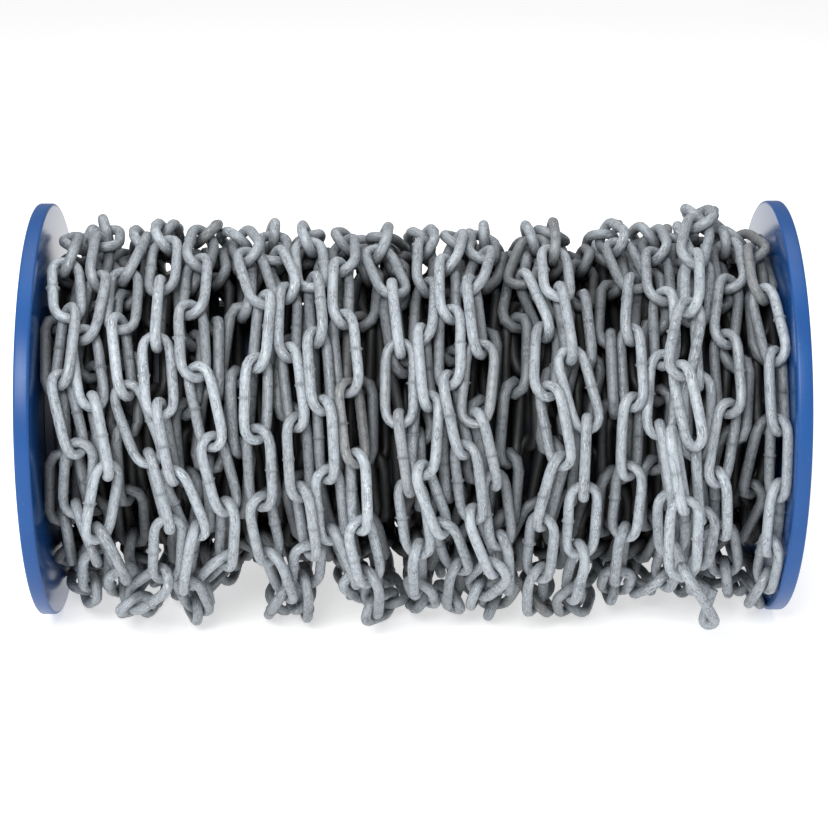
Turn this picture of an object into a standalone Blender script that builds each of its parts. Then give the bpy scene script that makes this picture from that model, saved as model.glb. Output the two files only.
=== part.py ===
"""A reel of galvanised long-link chain, lying on the rims of its two flanges.

The reel's axle runs along X. The flanges and the barrel are turned shapes. The
hidden layers of chain are one plain core. Each turn of the outer layer is a ring
of links, fused where they hook into each other, and the loose end of the chain
is made of separate links.
"""

import math
import random

import bmesh
import bpy
from mathutils import Matrix, Vector

# Reel, in metres
FLANGE_RADIUS = 0.125
FLANGE_WIDTH = 0.0089
FLANGE_WEB = 0.0040
RIM_DEPTH = 0.0050
HUB_RADIUS = 0.030
BORE_RADIUS = 0.018
INNER_WIDTH = 0.430
BARREL_RADIUS = 0.0625
BARREL_WALL = 0.0040

# The loose end stands out in front, so the axle is set back to centre the whole
AXLE_SET_BACK = 0.0077

# Chain of 6 mm wire with a 42 mm pitch
WIRE = 0.006
LINK_PITCH = 0.042
LINK_WIDTH = 0.022

# Winding: twenty turns side by side, hanging slack below the reel's axle. Angles round it
# count from below the axle, with the front at -90 degrees. Each turn leans to the right as
# it goes round, as a winding does, but for the last ones, which the right flange stands by.
TURNS = 20
TURN_SPACING = 0.0212
WINDING_SHIFT = 0.0030
TURN_LEAN = 0.0057
UPRIGHT_TURNS = 6
TURN_MIDDLE = math.radians(-72)
LINKS_IN_A_TURN = 16
CORE_RADIUS = 0.094
SAG = 0.0044
SAG_SCATTER = 0.0003
SIDE_SCATTER = 0.0005
LIFT_SCATTER = 0.0003
ROLL = math.radians(45)
ROLL_SCATTER = math.radians(5)

# Loose end of the chain: three links lie on the winding, one hangs plumb, face to the front,
# and the last hangs aslant in it, cut through one leg and twisted open
LYING_ROLLS = [math.radians(-50), math.radians(35), math.radians(-65)]
END_ALONG = 0.153
END_ANGLE = math.radians(-93.7)
END_PITCH = 0.0402
END_LIFT = 0.0014
HOOK_GAP = 0.0010
CUT_LEAN = (0.903, 0.327, 0.282)
CUT_SHORT_STUB = 0.006
CUT_LONG_STUB = 0.015
CUT_BEND = math.radians(42)
CUT_TWIST = math.radians(-26)

# Fit and fineness
GAP = 0.0003
FACETS = 48
CORE_FACETS = 36
TURN_LINK_CORNERS = 4
TURN_WIRE_SIDES = 4
TURN_WIRE_SWELL = 1.15
END_ARC_STEPS = 6
MERGE = 0.0001
SEED = 7

REEL_BLUE = (0.026, 0.134, 0.456, 1.0)
ZINC_GREY = (0.46, 0.49, 0.51, 1.0)


def clear_scene():
    for obj in list(bpy.data.objects):
        bpy.data.objects.remove(obj, do_unlink=True)


def make_material(name, colour, roughness, metallic):
    material = bpy.data.materials.new(name)
    material.use_nodes = True
    shader = material.node_tree.nodes["Principled BSDF"]
    shader.inputs["Base Color"].default_value = colour
    shader.inputs["Roughness"].default_value = roughness
    shader.inputs["Metallic"].default_value = metallic
    return material


def place(obj, collection, axle, material):
    """Puts a finished object on the axle, whose local Z is the reel's X."""
    collection.objects.link(obj)
    obj.parent = axle
    obj.data.materials.append(material)
    return obj


def turned(name, profile, facets):
    """A ring turned about local Z from a closed profile of (radius, height) points.

    The profile's outer side runs downwards, so that the faces point out.
    """
    mesh = bpy.data.meshes.new(name)
    points = [(radius, 0.0, height) for radius, height in profile]
    edges = [(i, (i + 1) % len(points)) for i in range(len(points))]
    mesh.from_pydata(points, edges, [])
    obj = bpy.data.objects.new(name, mesh)
    screw = obj.modifiers.new("turn", "SCREW")
    screw.axis = "Z"
    screw.angle = math.tau
    screw.steps = facets
    screw.render_steps = facets
    screw.use_merge_vertices = True
    screw.merge_threshold = MERGE
    screw.use_smooth_shade = True
    obj.rotation_euler.z = math.pi / facets
    return obj


def flange_profile():
    """Half a section of the right flange, with its inner face at height 0."""
    rim_inside = FLANGE_RADIUS - RIM_DEPTH
    return [
        (HUB_RADIUS, FLANGE_WIDTH),
        (HUB_RADIUS, FLANGE_WEB),
        (rim_inside, FLANGE_WEB),
        (rim_inside, FLANGE_WIDTH),
        (FLANGE_RADIUS, FLANGE_WIDTH),
        (FLANGE_RADIUS, 0.0),
        (BORE_RADIUS, 0.0),
        (BORE_RADIUS, FLANGE_WIDTH),
    ]


def make_flange(name, side):
    profile = flange_profile()
    if side < 0:
        profile = [(radius, -height) for radius, height in reversed(profile)]
    flange = turned(name, profile, FACETS)
    flange.location.z = side * INNER_WIDTH / 2
    return flange


def make_tube(name, outer, inner, length):
    half = length / 2
    profile = [(outer, half), (outer, -half), (inner, -half), (inner, half)]
    return turned(name, profile, CORE_FACETS)


def frame_of(place, length, width):
    """A frame at the place, its X along the link's length and its Y along the link's width."""
    frame = Matrix((length, width, length.cross(width))).transposed().to_4x4()
    frame.translation = place
    return frame


def link_frame(angle, radius, along, roll, slope=0.0):
    """A link's place on the winding: its length runs round it, rolled about that line."""
    outwards = Vector((math.cos(angle), math.sin(angle), 0.0))
    length = Vector((-math.sin(angle), math.cos(angle), slope)).normalized()
    sideways = outwards.cross(length)
    width = sideways * math.cos(roll) + outwards * math.sin(roll)
    return frame_of(outwards * radius + Vector((0.0, 0.0, along)), length, width)


def plain_link():
    """One link of few faces: a ring of square wire, its two halves drawn apart."""
    bend = (LINK_WIDTH - WIRE) / 2
    straight = (LINK_PITCH + WIRE) / 2 - bend
    half_corner = math.pi / TURN_LINK_CORNERS
    wire = WIRE / 2 * TURN_WIRE_SWELL
    bm = bmesh.new()
    section = bmesh.ops.create_circle(bm, segments=TURN_WIRE_SIDES, radius=wire)["verts"]
    edges = list(bm.edges)
    upright = Matrix.Rotation(math.pi / 2, 3, "X")
    bmesh.ops.rotate(bm, verts=section, matrix=upright)
    bmesh.ops.translate(bm, verts=section, vec=(bend, 0.0, 0.0))
    bmesh.ops.scale(bm, verts=section, vec=(1 / math.cos(half_corner), 1.0, 1.0))
    bmesh.ops.rotate(bm, verts=section, matrix=Matrix.Rotation(half_corner, 3, "Z"))
    bmesh.ops.spin(
        bm,
        geom=section + edges,
        cent=(0.0, 0.0, 0.0),
        axis=(0.0, 0.0, 1.0),
        angle=math.tau,
        steps=TURN_LINK_CORNERS,
        use_merge=True,
    )
    for vert in bm.verts:
        vert.co.x += math.copysign(straight, vert.co.x)
    bmesh.ops.recalc_face_normals(bm, faces=bm.faces)
    mesh = bpy.data.meshes.new("link")
    bm.to_mesh(mesh)
    bm.free()
    return mesh


def every_second_link(name, link, frames):
    """One mesh of the links that stand at the given frames and don't touch."""
    bm = bmesh.new()
    for frame in frames:
        first_new = len(bm.verts)
        bm.from_mesh(link)
        bm.verts.ensure_lookup_table()
        bmesh.ops.transform(bm, matrix=frame, verts=bm.verts[first_new:])
    mesh = bpy.data.meshes.new(name)
    bm.to_mesh(mesh)
    bm.free()
    return bpy.data.objects.new(name, mesh)


def make_turn(number, link, source, joined_in):
    """One turn of the outer layer, its odd links joined to its even ones."""
    radius = LINKS_IN_A_TURN * LINK_PITCH / math.tau
    sag = SAG + source.uniform(-1, 1) * SAG_SCATTER
    middle = WINDING_SHIFT + (number + 0.5 - TURNS / 2) * TURN_SPACING
    middle += source.uniform(-1, 1) * SIDE_SCATTER
    lean = TURN_LEAN * min(1.0, (TURNS - 1 - number) / UPRIGHT_TURNS)
    start = source.uniform(0, math.tau)
    first_side = source.choice((-1, 1))
    lowered = Matrix.Translation((sag, 0.0, 0.0))
    frames = []
    for count in range(LINKS_IN_A_TURN):
        angle = start + math.tau * count / LINKS_IN_A_TURN
        side = first_side if count % 2 else -first_side
        roll = side * ROLL + source.uniform(-1, 1) * ROLL_SCATTER
        lift = source.uniform(-1, 1) * LIFT_SCATTER
        along = middle + lean * math.sin(angle - TURN_MIDDLE)
        slope = lean * math.cos(angle - TURN_MIDDLE) / radius
        frames.append(lowered @ link_frame(angle, radius + lift, along, roll, slope))
    name = f"chain_turn_{number + 1:02d}"
    turn = every_second_link(name, link, frames[::2])
    others = every_second_link(f"{name}_other_links", link, frames[1::2])
    others.hide_render = True
    others.display_type = "WIRE"
    joined_in.objects.link(others)
    join = turn.modifiers.new("hooked", "BOOLEAN")
    join.operation = "UNION"
    join.solver = "EXACT"
    join.object = others
    return turn, others


def link_path():
    """Centre line of one link in its own plane: its length along X, its width along Y."""
    bend = (LINK_WIDTH - WIRE) / 2
    straight = (LINK_PITCH + WIRE) / 2 - bend
    points = []
    for end in (1, -1):
        for step in range(END_ARC_STEPS + 1):
            turn = math.pi * (step / END_ARC_STEPS - 0.5)
            points.append((end * (straight + bend * math.cos(turn)), end * bend * math.sin(turn)))
    return [Vector((x, y, 0.0)) for x, y in points]


def cut_link_path():
    """Centre line of the last link: one leg cut, its long stub bent aside, and all twisted."""
    closed = link_path()
    half = len(closed) // 2
    around = closed[half:] + closed[:half]
    start = around[0] + Vector((CUT_SHORT_STUB, 0.0, 0.0))
    long_stub = Vector((-math.cos(CUT_BEND), 0.0, math.sin(CUT_BEND))) * CUT_LONG_STUB
    points = [start, *around, around[-1] + long_stub]
    twisted = []
    for point in points:
        turn = CUT_TWIST * (0.5 + point.x / (LINK_PITCH + WIRE))
        twisted.append(Matrix.Rotation(turn, 4, "X") @ point)
    return twisted


def make_wire(name, path, cyclic):
    curve = bpy.data.curves.new(name, "CURVE")
    curve.dimensions = "3D"
    curve.bevel_depth = WIRE / 2
    curve.bevel_resolution = 1
    curve.use_fill_caps = not cyclic
    spline = curve.splines.new("POLY")
    spline.points.add(len(path) - 1)
    for point, position in zip(spline.points, path):
        point.co = (*position, 1.0)
    spline.use_cyclic_u = cyclic
    return bpy.data.objects.new(name, curve)


def hung_from(upper, length, facing):
    """Where a link hangs in the lower bend of another, its length and its width so directed."""
    length = Vector(length).normalized()
    facing = Vector(facing)
    width = (facing - length * facing.dot(length)).normalized()
    face = length.cross(width)
    pull = upper.to_3x3() @ Vector((1.0, 0.0, 0.0))
    pull = (pull - face * pull.dot(face)).normalized()
    bend = (LINK_WIDTH - WIRE) / 2
    half = (LINK_PITCH + WIRE) / 2
    hook = upper @ Vector((half - WIRE - HOOK_GAP, 0.0, 0.0))
    return frame_of(hook + pull * bend + length * (half - bend), length, width)


def make_end_links():
    """The last links, each hooked through the next."""
    bend = (LINK_WIDTH - WIRE) / 2
    layer_radius = LINKS_IN_A_TURN * LINK_PITCH / math.tau
    legs = bend * (math.sin(ROLL) + math.sin(abs(LYING_ROLLS[-1])))
    radius = layer_radius + legs + WIRE * TURN_WIRE_SWELL + LIFT_SCATTER + END_LIFT
    lowered = Matrix.Translation((SAG, 0.0, 0.0))
    frames = []
    for number, roll in enumerate(LYING_ROLLS):
        angle = END_ANGLE - (len(LYING_ROLLS) - 1 - number) * END_PITCH / radius
        frames.append(lowered @ link_frame(angle, radius, END_ALONG, roll))
    frames.append(hung_from(frames[-1], (1.0, 0.0, 0.0), (0.0, 0.0, 1.0)))
    frames.append(hung_from(frames[-1], CUT_LEAN, (0.0, 1.0, 0.0)))
    links = []
    for number, frame in enumerate(frames, start=1):
        last = number == len(frames)
        path = cut_link_path() if last else link_path()
        link = make_wire(f"chain_end_link_{number}", path, not last)
        link.matrix_local = frame
        links.append(link)
    return links


def main():
    clear_scene()
    collection = bpy.data.collections.new("chain_reel")
    joined_in = bpy.data.collections.new("links_joined_in")
    for part_of_scene in (collection, joined_in):
        bpy.context.scene.collection.children.link(part_of_scene)
    axle = bpy.data.objects.new("axle", None)
    height = FLANGE_RADIUS * math.cos(math.pi / FACETS)
    axle.location = (0.0, AXLE_SET_BACK, height)
    axle.rotation_euler.y = math.pi / 2
    collection.objects.link(axle)

    blue = make_material("reel_blue", REEL_BLUE, 0.25, 0.0)
    zinc = make_material("galvanised_zinc", ZINC_GREY, 0.6, 0.7)
    barrel_length = INNER_WIDTH - 2 * GAP
    core_length = TURNS * TURN_SPACING

    place(make_flange("flange_left", -1), collection, axle, blue)
    place(make_flange("flange_right", 1), collection, axle, blue)
    barrel_bore = BARREL_RADIUS - BARREL_WALL
    place(make_tube("barrel", BARREL_RADIUS, barrel_bore, barrel_length), collection, axle, blue)

    core_bore = BARREL_RADIUS + GAP
    core = make_tube("chain_inner_layers", CORE_RADIUS, core_bore, core_length)
    place(core, collection, axle, zinc)
    source = random.Random(SEED)
    link = plain_link()
    for number in range(TURNS):
        turn, others = make_turn(number, link, source, joined_in)
        place(turn, collection, axle, zinc)
        others.parent = axle
    for end_link in make_end_links():
        place(end_link, collection, axle, zinc)


main()
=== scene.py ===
import math
import random

import bmesh
import bpy
import numpy as np
from mathutils import Matrix, Vector


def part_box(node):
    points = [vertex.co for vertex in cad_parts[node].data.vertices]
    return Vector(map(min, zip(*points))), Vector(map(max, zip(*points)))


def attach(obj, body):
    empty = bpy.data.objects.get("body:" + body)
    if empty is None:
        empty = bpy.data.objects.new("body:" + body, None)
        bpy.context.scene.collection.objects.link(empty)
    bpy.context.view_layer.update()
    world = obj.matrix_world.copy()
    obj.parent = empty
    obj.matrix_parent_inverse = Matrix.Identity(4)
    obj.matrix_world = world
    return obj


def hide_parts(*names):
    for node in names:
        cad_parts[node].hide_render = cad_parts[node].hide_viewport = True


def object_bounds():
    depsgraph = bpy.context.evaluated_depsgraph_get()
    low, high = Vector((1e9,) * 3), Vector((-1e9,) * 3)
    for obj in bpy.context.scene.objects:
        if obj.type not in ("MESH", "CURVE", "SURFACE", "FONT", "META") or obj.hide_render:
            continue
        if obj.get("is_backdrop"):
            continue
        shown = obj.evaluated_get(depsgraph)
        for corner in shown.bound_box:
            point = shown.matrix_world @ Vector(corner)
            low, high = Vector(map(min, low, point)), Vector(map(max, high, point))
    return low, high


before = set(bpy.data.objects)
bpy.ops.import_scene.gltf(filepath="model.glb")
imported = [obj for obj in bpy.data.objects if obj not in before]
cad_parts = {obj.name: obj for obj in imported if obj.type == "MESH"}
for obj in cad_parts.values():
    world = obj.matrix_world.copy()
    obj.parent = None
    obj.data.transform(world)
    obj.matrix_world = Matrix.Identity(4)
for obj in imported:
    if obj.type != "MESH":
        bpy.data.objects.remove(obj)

cad_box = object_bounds()

# Reel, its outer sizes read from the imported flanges
LEFT_LOW, LEFT_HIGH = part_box("flange_left")
RIGHT_LOW, RIGHT_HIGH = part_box("flange_right")
AXLE = (LEFT_LOW + RIGHT_HIGH) / 2
FLANGE_RADIUS = (LEFT_HIGH.y - LEFT_LOW.y) / 2
FLANGE_WIDTH = LEFT_HIGH.x - LEFT_LOW.x
INNER_WIDTH = RIGHT_LOW.x - LEFT_HIGH.x
FLANGE_WEB = 0.0040
RIM_DEPTH = 0.0050
HUB_RADIUS = 0.030
BORE_RADIUS = 0.018
BARREL_RADIUS = 0.0625
BARREL_WALL = 0.0040
BARREL_GAP = 0.0003
REEL_STEPS = 160
BARREL_STEPS = 96
CORNER_STEPS = 4
SHARP_FROM = math.radians(40)

# Chain of 6 mm wire with a 42 mm pitch, on the centre line of the wire, which its zinc makes thicker
WIRE = 0.0065
LINK_LENGTH = 0.048
BEND = 0.008
STRAIGHT = LINK_LENGTH / 2 - BEND
LINK_SIDES = 6
HIDDEN_SIDES = 8
HIDDEN_SWELL = 1.03
ARC_STEPS = 4
SAME_PLACE = 1e-5

# Subdivision draws a link's cage in, so the cage is drawn larger by these
SECTION_SWELL = 1.15
CAGE_BEND = 0.00845

# How far from a link's middle the next link's wire hangs inside its end
HOOK_GAP = 0.0002
HOOK_REACH = STRAIGHT + BEND - WIRE - HOOK_GAP

# Winding, its angles counted from below the axle, with the front at -90 degrees
TURNS = 20
TURN_SPACING = 0.0212
WINDING_SHIFT = 0.0036
LAYER_RADIUS = 0.1055
WOUND_PITCH = 0.0404
ROLL = math.radians(45)
ROLL_SCATTER = math.radians(36)
ROLL_SPAN = 5
LIFT = 0.0010
LIFT_EVERY = 0.22
LEAST_SLACK = 0.008
MORE_SLACK = 0.014
SLACK_BEHIND_END = 0.002
SLACK_POWER = 1.5

# Hidden layers, the second wound from right to left
FIRST_LAYER_RADIUS = 0.0735
FIRST_LAYER_TOP = 0.0822
FIRST_LAYER_TURNS = 24
FIRST_LAYER_SPACING = 0.0177
FIRST_LAYER_SCATTER = math.radians(12)
SECOND_LAYER_RADIUS = 0.0885
SECOND_LAYER_TURNS = 21
SECOND_LAYER_SPACING = -0.0199
HIDDEN_ROLL_SPAN = 6
SWAY = 0.0012
SWAYS_A_TURN = 0.81

# The strands are drawn aside to lie aslant: how far, and over how many links
ASIDE = 0.0125
ASIDE_LINKS = 2.7

# Loose end: it climbs onto the layer behind, crosses over the top and hangs down in front.
# Its last whole link hangs plumb here, from the axle, in one that hangs aslant. The cut link
# hangs in the last whole one. The turns behind the end hang less slack than the others.
HANGING_LINKS = 4
END_X = 0.153
END_REACH = 0.124
END_DROP = 0.0355
ASLANT = (0.17, -0.20, -0.96)
ASLANT_ROLL = math.radians(76)
BEHIND_END = slice(15, 19)
CLIMB_START = 19.35
CLIMB_END = 19.5
CROSSED = 19.85
CLIMB = 0.0165

# Cut link: how it hangs and is twisted, its two stubs, its lower end, which is pinched to a smaller
# bend and ends early, and the knee that takes the long stub out of the link's plane
CUT_LEAN = (0.366, 0.284, -0.886)
CUT_ROLL = math.radians(102)
CUT_TWIST = math.radians(-50)
CUT_SHORT_STUB = 0.006
CUT_LONG_STUB = 0.0172
CUT_PINCH = 0.0014
CUT_END_TURN = math.radians(84)
CUT_KNEE = math.radians(103)
CUT_KNEE_ASIDE = math.radians(48)
CUT_KNEE_RADIUS = 0.0036
KNEE_STEPS = 4

# Settling: how far the wire keeps from the floor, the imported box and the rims
FLOOR_CLEARANCE = 0.0020
BOX_CLEARANCE = 0.0008
RIM_CLEARANCE = 0.0010

# Settling: how the links move, in metres a step
SETTLING_STEPS = 200
CARRIED_SPEED = 0.9
FRICTION = 0.04
TOP_SPEED = 2.5e-4
FALL = 1.1e-5
DRAWN_IN = 0.2e-5
ASIDE_SHARE = 0.01
ASIDE_SPEED = 1.2e-4
LINKS_NOT_DRAWN_ASIDE = 8

# Settling: how often neighbours are looked for and the turns squared up, and how the pushes on
# a link that touches several others are shared out
STEPS_TO_SEARCH = 10
SEARCH_MARGIN = 0.003
STEPS_TO_SQUARE = 50
ROUNDS_A_STEP = 2
PUSH_SHARE = 1.3
PUSH_POWER = 0.6

# Keep a division clear of zero
TINY_ANGLE = 1e-12
TINY = 1e-9

# Colours of the zinc and of the reel
LIGHT_ZINC = (0.365, 0.400, 0.433)
DARK_ZINC = (0.250, 0.279, 0.306)
STREAK_GREY = (0.165, 0.188, 0.210)
BRIGHT_GRAIN = (0.60, 0.64, 0.67)
DULL_GRAIN = (0.10, 0.115, 0.13)
SPECK_GREY = (0.04, 0.045, 0.05)
WELD_GREY = (0.08, 0.09, 0.10)
SOIL_TINT = (0.72, 0.67, 0.62)
DEEP_BLUE = (0.009, 0.055, 0.195)
LIGHT_BLUE = (0.013, 0.075, 0.25)
DUST_BLUE = (0.35, 0.42, 0.55)


def smooth_noise(source, count, span):
    """Random values of unit spread that change over about span places."""
    window = np.hanning(span + 2)
    rough = source.normal(size=count + span + 2)
    smooth = np.convolve(rough, window, mode="same")[:count]
    return smooth / np.sqrt((window ** 2).sum())


def equal_steps(path, total, pitch):
    """Angles at which links of this pitch lie on path(angle) -> (radius, x), the last at its end."""
    steps_a_radian = 400
    fine = np.linspace(0, total, int(total * steps_a_radian))
    radius, x = path(fine)
    points = np.stack([x, radius * np.sin(fine), radius * np.cos(fine)], axis=1)
    lengths = np.linalg.norm(np.diff(points, axis=0), axis=1)
    reached = np.concatenate([[0], np.cumsum(lengths)])
    count = int(reached[-1] / pitch)
    return np.interp(reached[-1] - pitch * np.arange(count)[::-1], reached, fine)


def links_on(angle, radius, x, roll):
    """Centres and turns of links that lie end to end round the axle, angle 0 below it."""
    outwards = np.stack([0 * angle, np.sin(angle), -np.cos(angle)], axis=1)
    centres = np.array(AXLE) + outwards * radius[:, None]
    centres[:, 0] += x
    along = np.gradient(centres, axis=0)
    along /= np.linalg.norm(along, axis=1)[:, None]
    sideways = np.array([1.0, 0.0, 0.0]) - along * along[:, :1]
    sideways /= np.linalg.norm(sideways, axis=1)[:, None]
    outwards = np.cross(sideways, along)
    width = sideways * np.cos(roll)[:, None] + outwards * np.sin(roll)[:, None]
    return centres, np.stack([along, width, np.cross(along, width)], axis=2)


def turned_to(along, roll):
    """How one link is turned whose length runs along, its right leg rolled to the back."""
    along = np.array(along) / np.linalg.norm(along)
    sideways = np.array([1.0, 0.0, 0.0]) - along * along[0]
    sideways /= np.linalg.norm(sideways)
    width = sideways * math.cos(roll) + np.cross(sideways, along) * math.sin(roll)
    return np.stack([along, width, np.cross(along, width)], axis=1)


def low_side(turned):
    """The way down within the plane of a link that is turned like this."""
    face = turned[:, 2]
    down = np.array([0.0, 0.0, -1.0])
    down -= face * (down @ face)
    return down / np.linalg.norm(down)


def alternate(count):
    """-1 and 1 in turn."""
    return np.where(np.arange(count) % 2, 1.0, -1.0)


def hidden_layer(radius, turns, spacing, scatter, seed):
    """A layer below the one that shows. Negative spacing winds it from right to left."""
    source = np.random.default_rng(seed)
    edge = (turns - 1) / 2 * abs(spacing)

    def path(angle):
        x = np.clip((angle / math.tau - turns / 2) * spacing, -edge, edge)
        return radius + 0 * angle, x + SWAY * np.sin(angle * SWAYS_A_TURN + seed)

    angle = equal_steps(path, turns * math.tau, WOUND_PITCH)
    radii, x = path(angle)
    roll = ROLL * alternate(len(angle)) + scatter * smooth_noise(source, len(angle), HIDDEN_ROLL_SPAN)
    return links_on(angle, radii, x, roll)


def outer_layer(seed):
    """The layer that shows, wound from left to right, and the loose end that comes back.

    Each turn's middle is at the front, so it runs from behind to behind. Returns the links'
    centres, their rotations and the number of each link's turn.
    """
    source = np.random.default_rng(seed)
    start = math.atan2(-END_REACH, END_DROP) - math.pi
    edge = (TURNS - 1) / 2 * TURN_SPACING
    slack = LEAST_SLACK + MORE_SLACK * source.random(TURNS + 1) ** 2
    slack[0] = 0.0
    slack[BEHIND_END] = SLACK_BEHIND_END
    lift_places = np.arange(-0.5, TURNS + 0.3, LIFT_EVERY)
    lift = LIFT * source.normal(size=len(lift_places)) ** 2

    def path(angle):
        turns = angle / math.tau - 0.5
        x = WINDING_SHIFT + np.clip(turns * TURN_SPACING - edge, -edge, edge)
        back = np.clip((turns - CLIMB_START) / (CROSSED - CLIMB_START), 0, 1)
        x = x + (END_X - edge - WINDING_SHIFT) * back
        climb = np.clip((turns - CLIMB_START) / (CLIMB_END - CLIMB_START), 0, 1)
        below = (0.5 + 0.5 * np.cos(angle + start)) ** SLACK_POWER
        out = np.interp(turns, np.arange(TURNS + 1), slack) * below + np.interp(turns, lift_places, lift)
        return LAYER_RADIUS + out + CLIMB * climb, x

    angle = equal_steps(path, (TURNS + 0.5) * math.tau, WOUND_PITCH)
    radii, x = path(angle)
    roll = ROLL * alternate(len(angle)) + ROLL_SCATTER * smooth_noise(source, len(angle), ROLL_SPAN)
    centres, turned = links_on(angle + start, radii, x, roll)
    centres[-1] = np.array(AXLE) + [END_X, -END_REACH, -END_DROP]
    turned[-1] = turned_to([0.0, 0.0, -1.0], 0.0)
    turned[-2] = turned_to(ASLANT, ASLANT_ROLL)
    hook = centres[-1] + [0.0, 0.0, HOOK_REACH]
    centres[-2] = hook - low_side(turned[-2]) * BEND - turned[-2][:, 0] * STRAIGHT
    return centres, turned, (angle / math.tau).astype(int)


def link_corners():
    """Corners of the polygon that stands for a link's centre line while the chain settles."""
    arc = math.pi * (np.arange(ARC_STEPS + 1) / ARC_STEPS - 0.5)
    half = np.stack([STRAIGHT + BEND * np.cos(arc), BEND * np.sin(arc), 0 * arc], axis=1)
    return np.concatenate([half, half * [-1, -1, 1]])


CORNERS = link_corners()
FOLLOWING = np.roll(np.arange(len(CORNERS)), -1)
HALF_LENGTHS = np.linalg.norm(CORNERS[FOLLOWING] - CORNERS, axis=1) / 2

# A link's moments of inertia about its own axes, for a mass of one
INERTIA = np.array([5.0e-5, 2.46e-4, 2.96e-4])

# Where the wire's centre line has to stay
FLOOR_WALL = WIRE / 2 + FLOOR_CLEARANCE
CEILING = LEFT_HIGH.z - WIRE / 2 - BOX_CLEARANCE
FRONT_WALL = cad_box[0][1] + WIRE / 2 + BOX_CLEARANCE


def turns_by(spin):
    """Rotation matrices for an array of rotation vectors."""
    angle = np.linalg.norm(spin, axis=1)
    x, y, z = (spin / np.maximum(angle, TINY_ANGLE)[:, None]).T
    none = np.zeros_like(x)
    cross = np.stack([none, -z, y, z, none, -x, -y, x, none], axis=1).reshape(-1, 3, 3)
    sine = np.sin(angle)[:, None, None]
    rest = (1 - np.cos(angle))[:, None, None]
    return np.eye(3) + sine * cross + rest * (cross @ cross)


def spin_of(turn):
    """Rotation vectors of nearly straight rotation matrices."""
    return 0.5 * np.stack(
        [turn[:, 2, 1] - turn[:, 1, 2], turn[:, 0, 2] - turn[:, 2, 0], turn[:, 1, 0] - turn[:, 0, 1]],
        axis=1,
    )


def nearest_points(first, first_end, second, second_end):
    """The nearest points of pairs of straight wires."""
    one = first_end - first
    two = second_end - second
    apart = first - second
    one_one = (one * one).sum(1)
    two_two = (two * two).sum(1)
    one_two = (one * two).sum(1)
    one_apart = (one * apart).sum(1)
    two_apart = (two * apart).sum(1)
    nearly_parallel = 1e-4
    slope = one_one * two_two - one_two * one_two
    crossing = slope > nearly_parallel * one_one * two_two
    cut = (one_two * two_apart - one_apart * two_two) / np.where(crossing, slope, 1)
    along_one = np.where(crossing, np.clip(cut, 0, 1), 0.5)
    along_two = np.clip((one_two * along_one + two_apart) / two_two, 0, 1)
    along_one = np.clip((one_two * along_two - one_apart) / one_one, 0, 1)
    return first + one * along_one[:, None], second + two * along_two[:, None]


def corners_at(centres, turned):
    """The corners of the links' centre lines."""
    return centres[:, None] + np.einsum("nij,kj->nki", turned, CORNERS)


def nearest_on_wires(corners, one, corner_one, two, corner_two):
    """The nearest points of pairs of pieces of wire, each from its corner to the following one."""
    return nearest_points(
        corners[one, corner_one],
        corners[one, FOLLOWING[corner_one]],
        corners[two, corner_two],
        corners[two, FOLLOWING[corner_two]],
    )


def wires_near(corners, centres, free):
    """Pairs of straight pieces of wire, as link and corner numbers, that may touch soon."""
    gap = np.linalg.norm(centres[:, None] - centres[None], axis=2)
    one, two = np.nonzero(gap < LINK_LENGTH + 2 * WIRE + SEARCH_MARGIN)
    keep = (one < two) & (free[one] | free[two])
    one, two = one[keep], two[keep]
    middles = (corners + corners[:, FOLLOWING]) / 2
    reach = HALF_LENGTHS[:, None] + HALF_LENGTHS[None] + WIRE + SEARCH_MARGIN
    gap = np.linalg.norm(middles[one][:, :, None] - middles[two][:, None], axis=3)
    pair, corner_one, corner_two = np.nonzero(gap < reach)
    one, two = one[pair], two[pair]
    near, other = nearest_on_wires(corners, one, corner_one, two, corner_two)
    keep = np.linalg.norm(near - other, axis=1) < WIRE + SEARCH_MARGIN
    return one[keep], corner_one[keep], two[keep], corner_two[keep]


def walls_met(corners):
    """Corners of links past a flange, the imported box, the floor, the rims or the first layer.

    Each comes with the way out and how far it is.
    """
    flange = (INNER_WIDTH - WIRE) / 2
    x, y, z = np.moveaxis(corners, 2, 0)
    walls = [
        ((-1.0, 0.0, 0.0), x - flange),
        ((1.0, 0.0, 0.0), -flange - x),
        ((0.0, 1.0, 0.0), FRONT_WALL - y),
        ((0.0, 0.0, 1.0), FLOOR_WALL - z),
        ((0.0, 0.0, -1.0), z - CEILING),
    ]
    for way, depth in walls:
        link, corner = np.nonzero(depth > 0)
        yield link, corner, np.tile(way, (len(link), 1)), depth[link, corner]
    away = corners - np.array(AXLE)
    away[:, :, 0] = 0
    distance = np.linalg.norm(away, axis=2)
    past_rims = np.where(away[:, :, 1] < 0, 0, distance + WIRE / 2 - FLANGE_RADIUS + RIM_CLEARANCE)
    for sign, depth in ((-1, past_rims), (1, FIRST_LAYER_TOP - distance)):
        link, corner = np.nonzero(depth > 0)
        way = sign * away[link, corner] / distance[link, corner][:, None]
        yield link, corner, way, depth[link, corner]


def pushed(links, arms, ways, turned, free):
    """How a push at the end of each arm turns its link, and how freely the link gives way."""
    lever = np.cross(arms, ways)
    local = np.einsum("nji,nj->ni", turned[links], lever) / INERTIA
    spin = np.einsum("nij,nj->ni", turned[links], local)
    return spin, free[links] * (1 + (lever * spin).sum(1))


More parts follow.
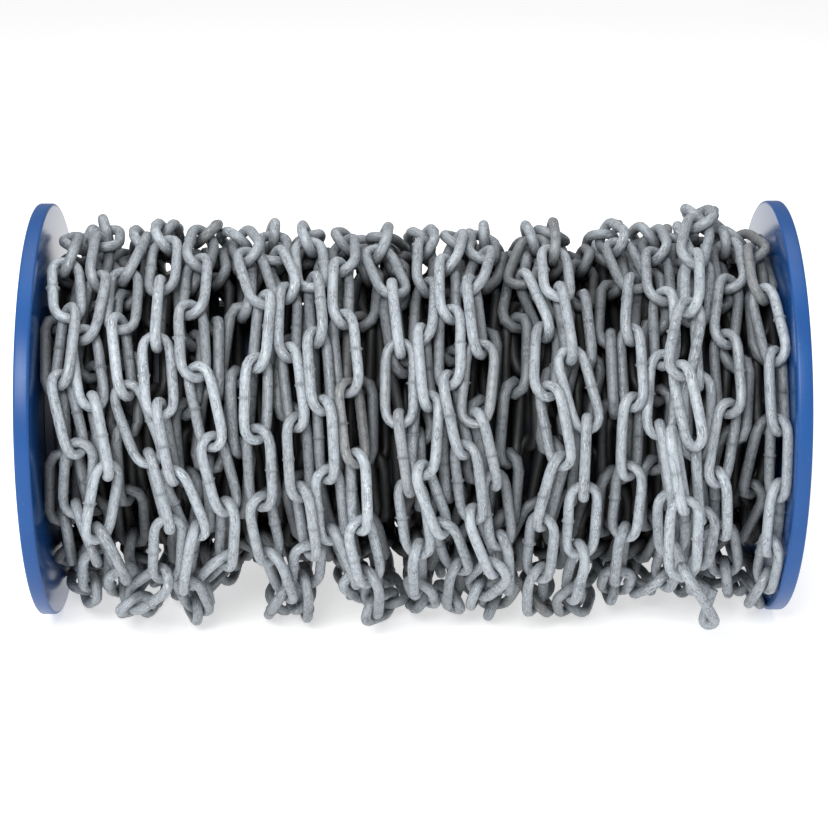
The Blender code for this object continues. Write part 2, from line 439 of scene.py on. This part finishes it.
def part_wires(centres, turned, free, pairs):
    """One round of pushing apart what overlaps. Returns the links' new places."""
    one, corner_one, two, corner_two = pairs
    shift = np.zeros_like(centres)
    spin = np.zeros_like(centres)
    touches = np.zeros(len(centres))

    def push(links, ways, turns, amount):
        np.add.at(shift, links, (amount * free[links])[:, None] * ways)
        np.add.at(spin, links, (amount * free[links])[:, None] * turns)
        np.add.at(touches, links, 1)

    corners = corners_at(centres, turned)
    near, other = nearest_on_wires(corners, one, corner_one, two, corner_two)
    distance = np.linalg.norm(near - other, axis=1)
    hit = distance < WIRE
    one, two, near, other = one[hit], two[hit], near[hit], other[hit]
    ways = (near - other) / np.maximum(distance[hit], TINY)[:, None]
    spin_one, give_one = pushed(one, near - centres[one], ways, turned, free)
    spin_two, give_two = pushed(two, other - centres[two], ways, turned, free)
    amount = (WIRE - distance[hit]) / np.maximum(give_one + give_two, TINY)
    push(one, ways, spin_one, amount)
    push(two, -ways, -spin_two, amount)
    for link, corner, way, depth in walls_met(corners):
        spin_link, give = pushed(link, corners[link, corner] - centres[link], way, turned, free)
        push(link, way, spin_link, depth / np.maximum(give, 1.0))
    share = (PUSH_SHARE / np.maximum(touches, 1) ** PUSH_POWER)[:, None]
    return centres + shift * share, turns_by(spin * share) @ turned, touches


def settle(centres, turned, free, steps, carry, fall=0.0, drawn_in=0.0, aside=None):
    """Lets the free links move by small steps, each held by whatever it touches.

    They keep a share of their speed, sink, are drawn in to the axle, and go towards aside in x.
    """
    free = free.astype(float)
    before, turned_before = centres, turned
    touches = np.zeros(len(centres))
    for step in range(steps):
        if step % STEPS_TO_SEARCH == 0:
            pairs = wires_near(corners_at(centres, turned), centres, free > 0)
        drag = (carry / (1 + FRICTION * touches))[:, None]
        speed = (centres - before) * drag
        speed *= np.minimum(1, TOP_SPEED / np.maximum(np.linalg.norm(speed, axis=1), TINY))[:, None]
        speed[:, 2] -= fall
        inwards = (np.array(AXLE) - centres) * [0.0, 1.0, 1.0]
        speed += drawn_in * inwards / np.linalg.norm(inwards, axis=1)[:, None]
        if aside is not None:
            speed[:, 0] += np.clip(ASIDE_SHARE * (aside - centres[:, 0]), -ASIDE_SPEED, ASIDE_SPEED)
        spin = spin_of(turned @ turned_before.transpose(0, 2, 1)) * drag
        before, turned_before = centres, turned
        centres = centres + speed * free[:, None]
        turned = turns_by(spin * free[:, None]) @ turned
        for _ in range(ROUNDS_A_STEP):
            centres, turned, touches = part_wires(centres, turned, free, pairs)
        if step % STEPS_TO_SQUARE == STEPS_TO_SQUARE - 1:
            left, _, right = np.linalg.svd(turned)
            turned = left @ right
    return centres, turned


def as_matrices(centres, turned):
    """Blender's matrices for links with these centres and turns."""
    places = []
    for centre, turn in zip(centres, turned):
        place = Matrix(turn.tolist()).to_4x4()
        place.translation = centre.tolist()
        places.append(place)
    return places


def wind_chain():
    """Places of all links: the two hidden layers, the outer one by turns, and the hanging end.

    The outer chain's first link and its last two are held while the rest settles.
    """
    first = hidden_layer(
        FIRST_LAYER_RADIUS, FIRST_LAYER_TURNS, FIRST_LAYER_SPACING, FIRST_LAYER_SCATTER, seed=11
    )
    second = hidden_layer(
        SECOND_LAYER_RADIUS, SECOND_LAYER_TURNS, SECOND_LAYER_SPACING, ROLL_SCATTER, seed=5
    )
    outer_centres, outer_turned, turn_number = outer_layer(seed=3)
    count = len(outer_centres)
    centres = np.concatenate([outer_centres, second[0]])
    turned = np.concatenate([outer_turned, second[1]])
    free = np.ones(len(centres), dtype=bool)
    free[[0, count - 2, count - 1]] = False
    source = np.random.default_rng(seed=4)
    knots = np.arange(0, len(centres) + ASIDE_LINKS, ASIDE_LINKS)
    pull = np.interp(np.arange(len(centres)), knots, ASIDE * source.normal(size=len(knots)))
    pull[count - LINKS_NOT_DRAWN_ASIDE:count] = 0
    aside = centres[:, 0] + pull
    centres, turned = settle(
        centres, turned, free, SETTLING_STEPS, CARRIED_SPEED, fall=FALL, drawn_in=DRAWN_IN, aside=aside
    )
    centres, turned = settle(centres, turned, free, SETTLING_STEPS // 2, carry=0.0)
    places = as_matrices(centres, turned)
    turns = [[] for _ in range(TURNS + 1)]
    for place, number in zip(places[:count - HANGING_LINKS], turn_number):
        turns[number].append(place)
    return as_matrices(*first), places[count:], turns, places[count - HANGING_LINKS:count]


def cut_link_place(last_whole):
    """The cut link hangs with its upper bend in the lower bend of the last whole link."""
    turned = turned_to(CUT_LEAN, CUT_ROLL)
    hook = last_whole @ Vector((HOOK_REACH, 0.0, 0.0))
    centre = np.array(hook) + low_side(turned) * BEND + turned[:, 0] * STRAIGHT
    return as_matrices([centre], [turned])[0]


def wire_place(point):
    """Where a point of a link lies: how far round from the weld, out from the wire's line, and up."""
    x, y, z = point
    if abs(x) > STRAIGHT:
        turn = math.atan2(y, abs(x) - STRAIGHT)
        return (STRAIGHT + (math.pi / 2 - turn) * BEND, math.hypot(y, abs(x) - STRAIGHT) - BEND, z)
    far = 2 * STRAIGHT + math.pi * BEND
    return (abs(x) if y > 0 else far - abs(x), abs(y) - BEND, z)


def grow_leg(bm, edges, step, swell=0.0, burr=0.0):
    """Extrudes an open end of the tube by a step. Returns the new end's edges.

    The new ring is wider by swell, and its two points in the link's plane also by burr.
    """
    grown = bmesh.ops.extrude_edge_only(bm, edges=edges)["geom"]
    ring = [part for part in grown if isinstance(part, bmesh.types.BMVert)]
    bmesh.ops.translate(bm, verts=ring, vec=step)
    middle = sum((vert.co for vert in ring), Vector()) / len(ring)
    for vert in ring:
        off = vert.co - middle
        pointed = burr if abs(off.z) < SAME_PLACE else 0.0
        vert.co = middle + off * (1 + swell + pointed)
    edges_grown = [part for part in grown if isinstance(part, bmesh.types.BMEdge)]
    return [edge for edge in edges_grown if all(vert in ring for vert in edge.verts)]


def half_link(sides, section, bend, second_leg, turn=math.pi):
    """Half of a link as an open bent tube: an end arc and both its legs.

    The first leg goes to the link's middle, the second by the given steps of grow_leg. Returns
    the mesh and the edges at the second leg's end.
    """
    bm = bmesh.new()
    ring = bmesh.ops.create_circle(bm, segments=sides, radius=section)["verts"]
    bmesh.ops.rotate(bm, verts=ring, matrix=Matrix.Rotation(math.pi / 2, 3, "Y"))
    bmesh.ops.translate(bm, verts=ring, vec=(STRAIGHT, -bend, 0.0))
    first_end = bm.edges[:]
    arc = bmesh.ops.spin(
        bm,
        geom=bm.verts[:] + bm.edges[:],
        cent=(STRAIGHT, 0.0, 0.0),
        axis=(0.0, 0.0, 1.0),
        angle=turn,
        steps=ARC_STEPS,
    )
    second_end = [part for part in arc["geom_last"] if isinstance(part, bmesh.types.BMEdge)]
    grow_leg(bm, first_end, (-STRAIGHT, bend - BEND, 0.0))
    for step in second_leg:
        second_end = grow_leg(bm, second_end, *step)
    return bm, second_end


def mesh_of_link(bm, name):
    """Turns the faces outwards, shades them smooth and gives the link's mesh."""
    bmesh.ops.recalc_face_normals(bm, faces=bm.faces)
    for face in bm.faces:
        face.smooth = True
    mesh = bpy.data.meshes.new(name)
    bm.to_mesh(mesh)
    bm.free()
    return mesh


def mark_wire_places(bm):
    """Keeps each point's place on the wire, for the zinc's pattern."""
    layer = bm.verts.layers.float_vector.new("wire_place")
    for vert in bm.verts:
        vert[layer] = wire_place(vert.co)


def whole_link(name, sides, section, bend, second_leg):
    """A closed link, mirrored from its half."""
    bm, _ = half_link(sides, section, bend, second_leg)
    geom = bm.verts[:] + bm.edges[:] + bm.faces[:]
    bmesh.ops.mirror(bm, geom=geom, matrix=Matrix.Identity(4), merge_dist=SAME_PLACE, axis="X")
    bmesh.ops.remove_doubles(bm, verts=bm.verts, dist=SAME_PLACE)
    mark_wire_places(bm)
    return mesh_of_link(bm, name)


def welded_link(width, swell, burr):
    """A link's cage, for subdivision, with a weld of this half width in the middle of a leg."""
    section = WIRE / 2 * SECTION_SWELL
    to_weld = ((3 * width - STRAIGHT, BEND - CAGE_BEND, 0.0),)
    foot = ((-2 * width, 0.0, 0.0),)
    weld = ((-width, 0.0, 0.0), swell, burr)
    return whole_link("welded_link", LINK_SIDES, section, CAGE_BEND, [to_weld, foot, weld])


def plain_link():
    """A link for the hidden layers, without subdivision."""
    second_leg = [((-STRAIGHT, 0.0, 0.0),)]
    return whole_link("hidden_link", HIDDEN_SIDES, WIRE / 2 * HIDDEN_SWELL, BEND, second_leg)


def grow_bent_stub(bm, edges):
    """The cut link's long stub: a knee out of the link's plane, then straight to the saw cut."""
    onwards = Vector((math.cos(CUT_END_TURN), math.sin(CUT_END_TURN), 0.0))
    up = Vector((0.0, 0.0, 1.0))
    aside = up * math.cos(CUT_KNEE_ASIDE) + up.cross(onwards) * math.sin(CUT_KNEE_ASIDE)
    ring = list({vert for edge in edges for vert in edge.verts})
    middle = sum((vert.co for vert in ring), Vector()) / len(ring)
    knee = bmesh.ops.spin(
        bm,
        geom=ring + edges,
        cent=middle + aside * CUT_KNEE_RADIUS,
        axis=onwards.cross(aside),
        angle=CUT_KNEE,
        steps=KNEE_STEPS,
    )
    edges = [part for part in knee["geom_last"] if isinstance(part, bmesh.types.BMEdge)]
    stub = onwards * math.cos(CUT_KNEE) + aside * math.sin(CUT_KNEE)
    return grow_leg(bm, edges, stub * CUT_LONG_STUB)


def keep_cuts_sharp(bm):
    """Creases the edges of the saw cuts, which subdivision would round off."""
    crease = bm.edges.layers.float.new("crease_edge")
    for face in bm.faces:
        if len(face.verts) == LINK_SIDES:
            for edge in face.edges:
                edge[crease] = 1.0


def cut_link():
    """The cut link's cage, sawn through one leg.

    Its long stub is bent open, its lower end is pinched to a smaller bend, and the whole is twisted.
    """
    section = WIRE / 2 * SECTION_SWELL
    short_leg = [((-CUT_SHORT_STUB, BEND - CAGE_BEND, 0.0),)]
    upper, upper_cut = half_link(LINK_SIDES, section, CAGE_BEND, short_leg)
    bmesh.ops.contextual_create(upper, geom=upper_cut)
    bmesh.ops.scale(upper, verts=upper.verts, vec=(-1.0, 1.0, 1.0))
    mark_wire_places(upper)
    half = bpy.data.meshes.new("upper_half")
    upper.to_mesh(half)
    upper.free()
    bm, opened_end = half_link(LINK_SIDES, section, CAGE_BEND - CUT_PINCH, [], CUT_END_TURN)
    bmesh.ops.contextual_create(bm, geom=grow_bent_stub(bm, opened_end))
    mark_wire_places(bm)
    bm.from_mesh(half)
    bmesh.ops.remove_doubles(bm, verts=bm.verts, dist=SAME_PLACE)
    keep_cuts_sharp(bm)
    for vert in bm.verts:
        share = (vert.co.x + LINK_LENGTH / 2) / LINK_LENGTH
        vert.co.rotate(Matrix.Rotation(CUT_TWIST * share, 3, "X"))
    return mesh_of_link(bm, "cut_link")


def finished(bm, name, material, nodes):
    """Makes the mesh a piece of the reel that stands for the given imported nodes."""
    mesh = bpy.data.meshes.new(name)
    bm.to_mesh(mesh)
    bm.free()
    piece = bpy.data.objects.new(name, mesh)
    bpy.context.scene.collection.objects.link(piece)
    mesh.materials.append(material)
    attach(piece, "root")
    if nodes:
        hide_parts(*nodes)
    return piece


def lay_links(name, places, meshes, source, material, nodes, rounded=True, either_leg=True):
    """One piece of chain: a link at each place, its weld on either leg by chance."""
    bm = bmesh.new()
    shade = bm.verts.layers.float.new("link_shade")
    for place in places:
        first_new = len(bm.verts)
        bm.from_mesh(source.choice(meshes))
        bm.verts.ensure_lookup_table()
        new = bm.verts[first_new:]
        flip = Matrix.Rotation(math.pi * source.randrange(2) * either_leg, 4, "Z")
        bmesh.ops.transform(bm, matrix=place @ flip, verts=new)
        own_shade = source.random()
        for vert in new:
            vert[shade] = own_shade
    piece = finished(bm, name, material, nodes)
    if rounded:
        smooth = piece.modifiers.new("rounded", "SUBSURF")
        smooth.levels = 1
        smooth.render_levels = 1


def spun(profile, steps):
    """A closed profile of (radius, x) points turned once round the axle."""
    bm = bmesh.new()
    verts = [bm.verts.new((x, radius, 0.0)) for radius, x in profile]
    edges = [bm.edges.new(pair) for pair in zip(verts, verts[1:] + verts[:1])]
    bmesh.ops.spin(
        bm,
        geom=verts + edges,
        cent=(0.0, 0.0, 0.0),
        axis=(1.0, 0.0, 0.0),
        angle=math.tau,
        steps=steps,
        use_merge=True,
    )
    bmesh.ops.translate(bm, verts=bm.verts, vec=AXLE)
    bmesh.ops.recalc_face_normals(bm, faces=bm.faces)
    return bm


def rounded_corners(profile, radii, steps):
    """The profile with each corner made an arc of its own radius."""
    points = []
    for number, corner in enumerate(profile):
        here = Vector(corner)
        to_last = (Vector(profile[number - 1]) - here).normalized()
        to_next = (Vector(profile[(number + 1) % len(profile)]) - here).normalized()
        start = here + to_last * radii[number]
        end = here + to_next * radii[number]
        centre = start + end - here
        for step in range(steps + 1):
            turn = math.pi / 2 * step / steps
            point = centre + (start - centre) * math.cos(turn) + (end - centre) * math.sin(turn)
            points.append(tuple(point))
    return points


def shade_round(piece):
    """Smooth shading, apart from the sharp edges."""
    piece.data.shade_smooth()
    piece.data.set_sharp_from_angle(angle=SHARP_FROM)


def make_flange(name, packed_node, side, material):
    """A flange with a flat inner face, a rim lip and a hub ring outside, all edges rounded."""
    inner = side * INNER_WIDTH / 2
    lip = FLANGE_RADIUS - RIM_DEPTH
    corners = [
        (BORE_RADIUS, 0.0),
        (FLANGE_RADIUS, 0.0),
        (FLANGE_RADIUS, FLANGE_WIDTH),
        (lip, FLANGE_WIDTH),
        (lip, FLANGE_WEB),
        (HUB_RADIUS, FLANGE_WEB),
        (HUB_RADIUS, FLANGE_WIDTH),
        (BORE_RADIUS, FLANGE_WIDTH),
    ]
    radii = [0.0008, 0.0016, 0.0012, 0.0012, 0.0020, 0.0020, 0.0012, 0.0008]
    rounded = rounded_corners(corners, radii, CORNER_STEPS)
    profile = [(radius, inner + side * depth) for radius, depth in rounded]
    shade_round(finished(spun(profile, REEL_STEPS), name, material, [packed_node]))


def make_barrel(material):
    """The tube between the flanges, clear of both by a hair."""
    half = INNER_WIDTH / 2 - BARREL_GAP
    inside = BARREL_RADIUS - BARREL_WALL
    profile = [(BARREL_RADIUS, -half), (BARREL_RADIUS, half), (inside, half), (inside, -half)]
    shade_round(finished(spun(profile, BARREL_STEPS), "reel_barrel", material, ["barrel"]))


def new_material(name, colour, roughness, metallic):
    """A material of one colour, with its nodes and its shader."""
    material = bpy.data.materials.new(name)
    material.use_nodes = True
    shader = material.node_tree.nodes["Principled BSDF"]
    shader.inputs["Base Color"].default_value = (*colour, 1.0)
    shader.inputs["Roughness"].default_value = roughness
    shader.inputs["Metallic"].default_value = metallic
    return material, material.node_tree, shader


def node(tree, kind, *in_order, settings=None, **by_name):
    """A new shader node. Its inputs, in order or by name, are values or other nodes' outputs."""
    made = tree.nodes.new(kind)
    for name, value in (settings or {}).items():
        setattr(made, name, value)
    inputs = [(made.inputs[number], value) for number, value in enumerate(in_order)]
    inputs += [(made.inputs[name], value) for name, value in by_name.items()]
    for socket, value in inputs:
        if isinstance(value, bpy.types.NodeSocket):
            tree.links.new(value, socket)
        else:
            socket.default_value = value
    return made


def mixed(tree, factor, first, second, blend="MIX"):
    """A colour mixed from two, each a colour or an output."""
    made = tree.nodes.new("ShaderNodeMix")
    made.data_type = "RGBA"
    made.blend_type = blend
    factor_socket, first_socket, second_socket, result = 0, 6, 7, 2
    for number, value in ((factor_socket, factor), (first_socket, first), (second_socket, second)):
        if isinstance(value, bpy.types.NodeSocket):
            tree.links.new(value, made.inputs[number])
        elif number == factor_socket:
            made.inputs[number].default_value = value
        else:
            made.inputs[number].default_value = (*value, 1.0)
    return made.outputs[result]


def ranged(tree, value, low, high, to_low, to_high):
    """Goes from to_low to to_high while the value goes from low to high."""
    return node(tree, "ShaderNodeMapRange", value, low, high, to_low, to_high).outputs[0]


def times(tree, first, second):
    """Two values multiplied."""
    return node(tree, "ShaderNodeMath", first, second, settings={"operation": "MULTIPLY"}).outputs[0]


def vector_math(tree, operation, *vectors):
    """A vector worked out from one or two others."""
    return node(tree, "ShaderNodeVectorMath", *vectors, settings={"operation": operation})


def noise(tree, place, scale, detail):
    """A noise pattern over a place."""
    return node(tree, "ShaderNodeTexNoise", Vector=place, Scale=scale, Detail=detail).outputs[0]


def link_noise(tree, place, slide, scale, detail):
    """A noise pattern over a place, which slide makes another one on each link."""
    four = {"noise_dimensions": "4D"}
    inputs = {"Vector": place, "W": slide, "Scale": scale, "Detail": detail}
    return node(tree, "ShaderNodeTexNoise", settings=four, **inputs).outputs[0]


def from_axle(tree):
    """A point's offset from the middle of the axle, and its distance from the axle."""
    spot = node(tree, "ShaderNodeTexCoord").outputs["Object"]
    offset = vector_math(tree, "SUBTRACT", spot, tuple(AXLE)).outputs[0]
    across = vector_math(tree, "MULTIPLY", offset, (0.0, 1.0, 1.0)).outputs[0]
    return offset, vector_math(tree, "LENGTH", across).outputs["Value"]


def zinc_colour(tree, own):
    """Mottled zinc with streaks, grain and specks, a dark line at the weld, and soil on a few links.

    Returns the colour, the mottle and the grain.
    """
    place = node(tree, "ShaderNodeAttribute", settings={"attribute_name": "wire_place"}).outputs["Vector"]
    slide = times(tree, own, 37.0)
    drawn = node(tree, "ShaderNodeMapping", Vector=place, Scale=(0.28, 1.0, 1.0)).outputs[0]
    mottle = link_noise(tree, place, slide, 230.0, 4.0)
    streak = link_noise(tree, drawn, slide, 620.0, 3.0)
    specks = link_noise(tree, place, slide, 900.0, 3.0)
    grain = link_noise(tree, drawn, slide, 1500.0, 2.0)
    from_weld = node(tree, "ShaderNodeSeparateXYZ", Vector=place).outputs[0]
    grained = ranged(tree, mottle, 0.46, 0.60, 0.20, 1.0)
    bright = times(tree, grained, ranged(tree, grain, 0.54, 0.66, 0.0, 0.9))
    dull = times(tree, grained, ranged(tree, grain, 0.46, 0.34, 0.0, 0.8))
    colour = mixed(tree, ranged(tree, mottle, 0.35, 0.66, 0.0, 1.0), LIGHT_ZINC, DARK_ZINC)
    colour = mixed(tree, ranged(tree, streak, 0.48, 0.66, 0.0, 0.55), colour, STREAK_GREY)
    colour = mixed(tree, bright, colour, BRIGHT_GRAIN)
    colour = mixed(tree, dull, colour, DULL_GRAIN)
    colour = mixed(tree, ranged(tree, specks, 0.61, 0.69, 0.0, 0.75), colour, SPECK_GREY)
    colour = mixed(tree, ranged(tree, from_weld, 0.0005, 0.0013, 0.35, 0.0), colour, WELD_GREY)
    soiled = ranged(tree, own, 0.93, 1.0, 0.0, 0.8)
    colour = mixed(tree, soiled, colour, mixed(tree, 1.0, colour, SOIL_TINT, "MULTIPLY"))
    return colour, mottle, grain


def wound_shade(tree, own):
    """How light a link is: by its own tone, and by painted shade, darker deep in the winding and low on
    it.
    """
    offset, distance = from_axle(tree)
    height = node(tree, "ShaderNodeSeparateXYZ", Vector=offset).outputs[2]
    tone = ranged(tree, own, 0.0, 0.86, 1.10, 0.84)
    # Painted shade: the colour darkens towards the axle, deep in the winding.
    deep_shade = ranged(tree, distance, 0.084, 0.109, 0.02, 1.0)
    # Painted shade: the colour darkens low on the reel, towards the floor.
    low = ranged(tree, height, -0.115, -0.030, 0.80, 1.0)
    shade = times(tree, times(tree, tone, deep_shade), low)
    return node(tree, "ShaderNodeCombineColor", shade, shade, shade).outputs[0]


def zinc():
    """Hot-dip zinc: matt grey, its gloss as uneven as its mottle, and rough with its grain."""
    material, tree, shader = new_material("galvanised_zinc", (0.4, 0.4, 0.4), 0.6, 0.15)
    own = node(tree, "ShaderNodeAttribute", settings={"attribute_name": "link_shade"}).outputs["Fac"]
    colour, mottle, grain = zinc_colour(tree, own)
    # Painted shade multiplied into the colour: darker deep in the winding and low on the reel, along with
    # each link's own random tone.
    colour = mixed(tree, 1.0, colour, wound_shade(tree, own), "MULTIPLY")
    tree.links.new(colour, shader.inputs["Base Color"])
    tree.links.new(ranged(tree, mottle, 0.3, 0.7, 0.46, 0.64), shader.inputs["Roughness"])
    bump = node(tree, "ShaderNodeBump", Strength=0.5, Distance=0.0004, Height=grain)
    tree.links.new(bump.outputs[0], shader.inputs["Normal"])
    return material


def reel_blue():
    """Glossy blue plastic, slightly uneven, with less gloss on the rims."""
    material, tree, shader = new_material("reel_blue", (0.010, 0.060, 0.21), 0.2, 0.0)
    spot = node(tree, "ShaderNodeTexCoord").outputs["Object"]
    cloud = noise(tree, spot, 14.0, 4.0)
    dust = noise(tree, spot, 700.0, 2.0)
    colour = mixed(tree, ranged(tree, cloud, 0.3, 0.7, 0.0, 1.0), DEEP_BLUE, LIGHT_BLUE)
    colour = mixed(tree, ranged(tree, dust, 0.72, 0.80, 0.0, 0.5), colour, DUST_BLUE)
    tree.links.new(colour, shader.inputs["Base Color"])
    _, distance = from_axle(tree)
    rim = ranged(tree, distance, FLANGE_RADIUS - 0.002, FLANGE_RADIUS - 0.001, 0.0, 1.0)
    tree.links.new(ranged(tree, rim, 0.0, 1.0, 0.18, 0.36), shader.inputs["Roughness"])
    tree.links.new(ranged(tree, rim, 0.0, 1.0, 0.55, 0.25), shader.inputs["Specular IOR Level"])
    bump = node(tree, "ShaderNodeBump", Strength=0.08, Distance=0.0004, Height=cloud)
    tree.links.new(bump.outputs[0], shader.inputs["Normal"])
    return material


def barrel_blue_painted_shade():
    """The barrel's blue painted almost black: painted shade, as the barrel lies deep under the wound
    chain.
    """
    material, _, _ = new_material("barrel_blue_painted_shade", (0.003, 0.008, 0.020), 0.5, 0.0)
    return material


def make_floor():
    """A wide pale floor that glows a little, so that it stays white."""
    bm = bmesh.new()
    bmesh.ops.create_grid(bm, x_segments=1, y_segments=1, size=8.0)
    mesh = bpy.data.meshes.new("floor")
    bm.to_mesh(mesh)
    bm.free()
    floor = bpy.data.objects.new("floor", mesh)
    bpy.context.scene.collection.objects.link(floor)
    material, _, shader = new_material("pale_floor", (0.76, 0.76, 0.76), 0.9, 0.0)
    shader.inputs["Emission Color"].default_value = (1.0, 1.0, 1.0, 1.0)
    shader.inputs["Emission Strength"].default_value = 0.56
    mesh.materials.append(material)
    floor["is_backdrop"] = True


def make_camera():
    """The photograph's view: 20 degrees down, a little left of the middle."""
    lens_pixels = 2389
    frame_pixels = 828
    pixels_below = 7
    distance = 1.459
    to_the_left = -0.019
    elevation = math.radians(20)
    swung = math.radians(-0.866)
    data = bpy.data.cameras.new("camera")
    data.sensor_width = 36.0
    data.lens = data.sensor_width * lens_pixels / frame_pixels
    data.clip_end = 50.0
    camera = bpy.data.objects.new("camera", data)
    back = Vector((to_the_left, -distance * math.cos(elevation), distance * math.sin(elevation)))
    camera.location = AXLE + back
    below_centre = math.atan(pixels_below / lens_pixels)
    camera.rotation_euler = (math.pi / 2 - elevation - below_centre, 0.0, swung)
    bpy.context.scene.collection.objects.link(camera)
    bpy.context.scene.camera = camera


def make_light(name, place, width, height, power):
    """A softbox that faces the axle."""
    data = bpy.data.lights.new(name, "AREA")
    data.shape = "RECTANGLE"
    data.size = width
    data.size_y = height
    data.energy = power
    light = bpy.data.objects.new(name, data)
    light.location = place
    light.rotation_euler = (AXLE - Vector(place)).to_track_quat("-Z", "Y").to_euler()
    bpy.context.scene.collection.objects.link(light)


def make_studio():
    """The floor, soft lights on all sides and a pale surrounding."""
    make_floor()
    make_light("front_softbox", (-0.45, -1.6, 1.35), width=1.0, height=0.8, power=43.0)
    make_light("top_softbox", (0.0, 0.3, 1.6), width=1.4, height=1.2, power=12.0)
    make_light("left_softbox", (-1.6, -0.6, 0.5), width=0.9, height=0.9, power=6.0)
    make_light("right_softbox", (1.6, -0.6, 0.5), width=0.9, height=0.9, power=3.0)
    world = bpy.data.worlds.new("studio")
    world.use_nodes = True
    world.node_tree.nodes["Background"].inputs["Color"].default_value = (1.0, 1.0, 1.0, 1.0)
    world.node_tree.nodes["Background"].inputs["Strength"].default_value = 0.34
    bpy.context.scene.world = world
    bpy.context.scene.view_settings.view_transform = "Standard"


def make_chain():
    """All pieces of the chain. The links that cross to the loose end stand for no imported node."""
    material = zinc()
    welded = [
        welded_link(width=0.0005, swell=0.30, burr=0.60),
        welded_link(width=0.0008, swell=0.24, burr=0.20),
        welded_link(width=0.0005, swell=0.24, burr=0.42),
    ]
    hidden = [plain_link()]
    source = random.Random(12)
    first, second, turns, end = wind_chain()
    hidden_nodes = ["chain_inner_layers"]
    lay_links("chain_first_layer", first, hidden, source, material, hidden_nodes, rounded=False)
    lay_links("chain_second_layer", second, hidden, source, material, hidden_nodes, rounded=False)
    for number, places in enumerate(turns[:TURNS], start=1):
        turn_node = [f"chain_turn_{number:02d}"]
        lay_links(f"turn_{number:02d}_links", places, welded, source, material, turn_node)
    lay_links("crossing_links", turns[TURNS], welded, source, material, [])
    for number, place in enumerate(end, start=1):
        end_node = [f"chain_end_link_{number}"]
        lay_links(f"end_link_{number}", [place], welded, source, material, end_node)
    cut_place = [cut_link_place(end[-1])]
    cut_node = [f"chain_end_link_{HANGING_LINKS + 1}"]
    lay_links("cut_end_link", cut_place, [cut_link()], source, material, cut_node, either_leg=False)


def main():
    """Builds the reel, its chain, the studio and the camera."""
    blue = reel_blue()
    make_flange("left_flange", "flange_left", -1, blue)
    make_flange("right_flange", "flange_right", 1, blue)
    make_barrel(barrel_blue_painted_shade())
    make_chain()
    make_studio()
    make_camera()


main()
boxes = {"cad": cad_box, "visual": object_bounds()}
{name: [list(corner) for corner in box] for name, box in boxes.items()}
